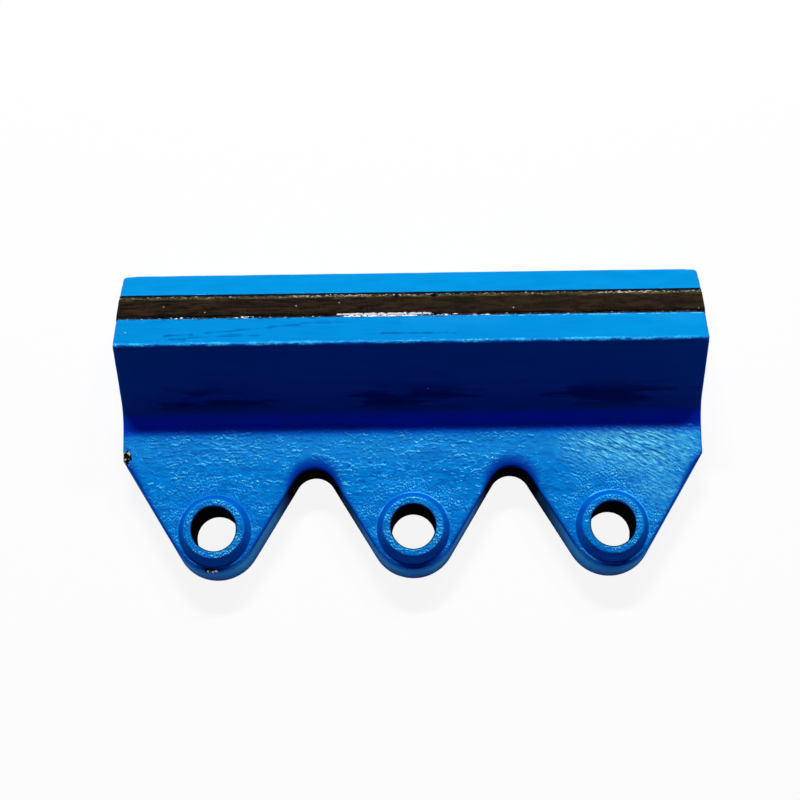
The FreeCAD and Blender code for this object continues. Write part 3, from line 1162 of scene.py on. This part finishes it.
def hard_metal():
    material, tree = new_material("hard_metal")
    at_mm = surface_mm(tree)
    on_face = on_leading_face(tree, at_mm)
    along, down = add(tree, "ShaderNodeSeparateXYZ", {0: on_face})[:2]
    shifted = add(
        tree, "ShaderNodeVectorMath", {0: on_face, 1: (40.0, 9.0, 5.0)}, operation="ADD"
    )[0]
    sooty = zone(tree, (along, 20.0, -20.0, 0.0, 0.06))
    smudge = cloud(tree, shifted, (11.0, 1.7, 1.7))
    smudge = add(tree, "ShaderNodeMath", {0: smudge, 1: sooty}, operation="ADD")[0]
    patchy = cloud(tree, on_face, (12.0, 2.0, 2.0))
    far_edge = zone(tree, (down, 31.5, 34.5, 0.0, 0.28))
    crust = add(tree, "ShaderNodeMath", {0: patchy, 1: far_edge}, operation="ADD")[0]
    # Painted shade along the near edge, broken up in patches.
    near_edge = zone(tree, (down, 23.6, 21.8, 0.0, 0.22))
    near_edge_shade = add(tree, "ShaderNodeMath", {0: patchy, 1: near_edge}, operation="ADD")[0]
    across = cloud(tree, on_face, (0.7, 7.0, 7.0), 2.0)
    grain = add(tree, "ShaderNodeTexVoronoi", {"Vector": at_mm, "Scale": 1 / 7.0})[0]
    # Filler smeared on the near edge, painted as bright as a glint.
    smear_glint = cloud(tree, on_face, (2.2, 1.2, 1.2), 2.0)
    smear_glint = add(tree, "ShaderNodeMath", {0: smear_glint, 1: 2.4, 2: 20.6}, operation="MULTIPLY_ADD")[0]
    smear_glint = add(tree, "ShaderNodeMath", {0: smear_glint, 1: down}, operation="SUBTRACT")[0]
    smear_glint = zone(tree, smear_glint, (along, -38.0, -32.0, 0.0, 0.3), (along, 12.0, 6.0))
    base = layered(tree, "#171109", [
        (patches(tree, on_face, (16.0, 4.0, 4.0), 0.44, 0.62), "#2E1F14"),
        (patches(tree, shifted, (22.0, 3.0, 3.0), 0.52, 0.70, most=0.7), "#292712"),
        (zone(tree, (smudge, 0.56, 0.66, 0.0, 0.9)), "#060302"),
        (zone(tree, (crust, 0.70, 0.88, 0.0, 0.9)), "#5A5430"),
        (zone(tree, (near_edge_shade, 0.62, 0.72, 0.0, 0.9)), "#080403"),
        (zone(tree, (across, 0.60, 0.80, 0.0, 0.6)), "#453424"),
        (zone(tree, (grain, 0.06, 0.02)), "#D8D4CC"),
        (zone(tree, (smear_glint, 0.02, 0.06)), "#F4F2EC"),
        *pit_layers(tree, on_face, flux_pits, 1.0, 0.3),
    ])
    pits = cloud(tree, at_mm, (0.8, 0.8, 0.8))
    depth = add(tree, "ShaderNodeMath", {0: pits, 1: across}, operation="ADD")[0]
    bump = add(tree, "ShaderNodeBump", {"Distance": 0.12 * MM, "Height": depth})[0]
    metal = add(
        tree, "ShaderNodeBsdfPrincipled",
        {
            "Base Color": base, "Metallic": 0.05, "Roughness": 0.55,
            "Specular IOR Level": 0.02, "Normal": bump,
        },
    )[0]
    add(tree, "ShaderNodeOutputMaterial", {0: metal})
    return material


insert_sizes = {"Station": 0.8 * MM, "Lump height": 0.12, "Lump size": (3.0, 2.0, 2.0)}
insert_bar = carried("hard_metal_insert", insert_sizes, hard_metal())
show(insert_bar, "insert_bar", "root", "hard_metal", "hard_metal_insert")

# %% [markdown]
# Brazing filler is a brass that freezes as a rough bead between the paint's cut edge and the hard
# metal, under burnt flux. That gives the eye an olive-brown crust with pale grains and brighter
# runs; on the lower bead those runs are painted glints, white as the light. A ragged black line
# along the paint is burnt flux, darkened further as painted shade under the paint's cut edge.
# Which runs are bright is a matter of chance on the real bar, so they are listed.

# %% Brazing filler
upper_bright_runs = [
    # from, to, how bright
    (-140.0, -128.0, 0.2),
    (-62.0, -20.0, 0.45),
    (-14.0, 20.0, 0.3),
    (94.0, 127.0, 0.6),
    (127.0, 147.0, 0.35),
]
# Painted glints on the lower bead, white as the light.
lower_glint_runs = [
    (-118.0, -106.0, 0.4),
    (-88.0, -79.0, 0.6),
    (-33.0, 6.0, 0.95),
    (8.0, 24.0, 0.5),
    (30.0, 41.0, 0.5),
]


def braze(name, low, high, paint_at_high, olive, bright, runs, pits):
    """low and high are the bead's edges in millimetres down the leading face from the nose."""
    material, tree = new_material(name)
    at_mm = surface_mm(tree)
    on_face = on_leading_face(tree, at_mm)
    along, down = add(tree, "ShaderNodeSeparateXYZ", {0: on_face})[:2]
    metal_edge, paint_edge = (low, high) if paint_at_high else (high, low)
    to_paint = zone(tree, (down, metal_edge, paint_edge))
    shine = 0.0
    for start, end, strength in runs:
        middle, half = (start + end) / 2, (end - start) / 2
        off = add(tree, "ShaderNodeMath", {0: along, 1: middle}, operation="SUBTRACT")[0]
        off = add(tree, "ShaderNodeMath", {0: off}, operation="ABSOLUTE")[0]
        run = zone(tree, (off, half + 2.0, half - 2.0, 0.0, strength))
        shine = add(tree, "ShaderNodeMath", {0: shine, 1: run}, operation="ADD")[0]
    fleck = cloud(tree, at_mm, (1.7, 0.7, 0.7), 2.0)
    lit = add(tree, "ShaderNodeMath", {0: shine, 1: 0.22, 2: fleck}, operation="MULTIPLY_ADD")[0]
    lit = add(tree, "ShaderNodeMath", {0: to_paint, 1: 0.10, 2: lit}, operation="MULTIPLY_ADD")[0]
    # Painted shade under the paint's cut edge, with burnt flux: the dark line.
    edge = cloud(tree, at_mm, (1.6, 1.6, 1.6), 2.0)
    line = add(tree, "ShaderNodeMath", {0: edge, 1: 0.9, 2: to_paint}, operation="MULTIPLY_ADD")[0]
    base = layered(tree, "#1E1810", [
        (patches(tree, at_mm, (1.4, 0.9, 0.9), 0.42, 0.60), olive),
        (zone(tree, (lit, 0.66, 0.74)), bright),
        (zone(tree, (line, 1.12, 1.20)), "#04141A"),
        *pit_layers(tree, on_face, pits, 0.0, 0.2),
    ])
    bump = add(tree, "ShaderNodeBump", {"Distance": 0.3 * MM, "Height": fleck})[0]
    filler = add(
        tree, "ShaderNodeBsdfPrincipled",
        {
            "Base Color": base, "Metallic": 0.1, "Roughness": 0.45,
            "Specular IOR Level": 0.04, "Normal": bump,
        },
    )[0]
    add(tree, "ShaderNodeOutputMaterial", {0: filler})
    return material


insert_width, insert_bevel = 14.0, 0.5
lower_width, upper_width = 1.5, 2.5
lower_low = insert_from_nose - insert_bevel - lower_width
upper_low = insert_from_nose - insert_bevel + insert_width
upper_finish = braze(
    "upper_filler", upper_low, upper_low + upper_width, True, "#574C30", "#C4B8A4",
    upper_bright_runs, flux_pits,
)
lower_finish = braze(
    "lower_filler", lower_low, lower_low + lower_width, False, "#2A2C24", "#FFFFFF",
    lower_glint_runs, [],
)
filler_sizes = {"Station": 0.6 * MM, "Lump height": 0.5, "Lump size": (2.5, 1.5, 1.5)}
upper_mesh = carried("upper_braze_bead", filler_sizes, upper_finish)
lower_mesh = carried("lower_braze_bead", filler_sizes, lower_finish)
show(upper_mesh, "upper_filler_bead", "root", "braze", "upper_braze_bead")
show(lower_mesh, "lower_filler_bead", "root", "braze", "lower_braze_bead")

# %% [markdown]
# The stage is a plain pale floor. Seen by the camera or in a reflection it is nearly white, and
# it keeps a soft shadow. The world is white behind it, and only a dim sky blue for the light that
# falls on the bar.

# %% Floor and world


def seen(tree):
    """1 for rays from the camera and for reflected and refracted ones, else 0."""
    rays = add(tree, "ShaderNodeLightPath")
    return either(tree, rays["Is Camera Ray"], rays["Is Glossy Ray"], rays["Is Transmission Ray"])


def pale_floor():
    material, tree = new_material("pale_floor")
    glossy = add(tree, "ShaderNodeLightPath")["Is Glossy Ray"]
    shown = seen(tree)
    lit = zone(tree, (shown, 0.0, 1.0, 0.85, 0.10))
    albedo = add(tree, "ShaderNodeMath", {0: glossy, 1: 0.65, 2: lit}, operation="MULTIPLY_ADD")[0]
    paper = add(tree, "ShaderNodeBsdfDiffuse", {"Color": albedo})[0]
    level = add(tree, "ShaderNodeMath", {0: shown, 1: 0.90}, operation="MULTIPLY")[0]
    level = add(
        tree, "ShaderNodeMath", {0: glossy, 1: -0.80, 2: level}, operation="MULTIPLY_ADD"
    )[0]
    glow = add(tree, "ShaderNodeEmission", {"Color": linear("#FFFFFF"), "Strength": level})[0]
    both = add(tree, "ShaderNodeAddShader", {0: paper, 1: glow})[0]
    add(tree, "ShaderNodeOutputMaterial", {0: both})
    return material


floor_half = 20.0
floor_z = cad_low.z - 0.05 * MM
floor_mesh = bpy.data.meshes.new("floor")
corners = [
    (x * floor_half, y * floor_half, floor_z) for x, y in ((-1, -1), (1, -1), (1, 1), (-1, 1))
]
floor_mesh.from_pydata(corners, [], [(0, 1, 2, 3)])
floor_mesh.materials.append(pale_floor())
floor = bpy.data.objects.new("floor", floor_mesh)
scene.collection.objects.link(floor)

world = bpy.data.worlds.new("studio")
scene.world = world
world.use_nodes = True
tree = world.node_tree
tree.nodes.clear()
sky = add(tree, "ShaderNodeBackground", {"Color": (0.15, 0.15, 1.0, 1.0), "Strength": 0.10})[0]
white = add(tree, "ShaderNodeBackground", {"Color": linear("#FFFFFF"), "Strength": 1.0})[0]
mixed = add(tree, "ShaderNodeMixShader", {0: seen(tree), 1: sky, 2: white})[0]
add(tree, "ShaderNodeOutputWorld", {0: mixed})
print("floor at z", round(floor_z / MM, 2), "mm")

# %% [markdown]
# Two lamps stand behind the head. A long strip of soft light falls on the leading face most, on the
# plate less, and leaves the undercut in its own shade, as in the photograph. A small lamp to its
# right is much weaker, and gives the relief's flanks their glints.

# %% Lamps
lamp_distance = 2.5


def soft_box(name, direction, size, power):
    """A white rectangle of light that faces the bar's middle from that direction."""
    lamp = bpy.data.lights.new(name, "AREA")
    lamp.shape = "RECTANGLE"
    lamp.size, lamp.size_y = size
    lamp.energy = power
    made = bpy.data.objects.new(name, lamp)
    centre = (cad_low + cad_high) / 2
    away = Vector(direction).normalized()
    made.location = centre + away * lamp_distance
    made.rotation_euler = away.to_track_quat("Z", "Y").to_euler()
    scene.collection.objects.link(made)
    print(name, "gives", power, "W")


soft_box("key_soft_box", (-0.06, 0.65, 0.757), (0.8, 0.12), 58.0)
soft_box("glint_lamp", (0.29, 0.66, 0.69), (0.30, 0.12), 12.0)

# %% [markdown]
# The camera looks down on the bar from over its lug side. Its place was worked out by fitting the
# bar's outline to the photograph.

# %% Camera
tilt, swing, roll = (math.radians(a) for a in (-14.076, -0.359, 0.786))
aim_x, aim_y, camera_distance = 6.903 * MM, -69.986 * MM, 961.659 * MM
to_camera_axes = Matrix.Rotation(roll, 3, "Z") @ Matrix.Rotation(swing, 3, "Y")
to_camera_axes = to_camera_axes @ Matrix.Rotation(tilt, 3, "X")
turn = to_camera_axes.transposed()
place = turn @ Vector((-aim_x, -aim_y, camera_distance))
lens = bpy.data.cameras.new("camera")
lens.sensor_width = 36.0
lens.lens = 84.09
lens.clip_start, lens.clip_end = 0.01, 100.0
camera = bpy.data.objects.new("camera", lens)
camera.matrix_world = Matrix.Translation(place) @ turn.to_4x4()
scene.collection.objects.link(camera)
scene.camera = camera
scene.view_settings.view_transform = "Standard"
print("camera stands", round(place.length, 3), "m from the middle bolt")
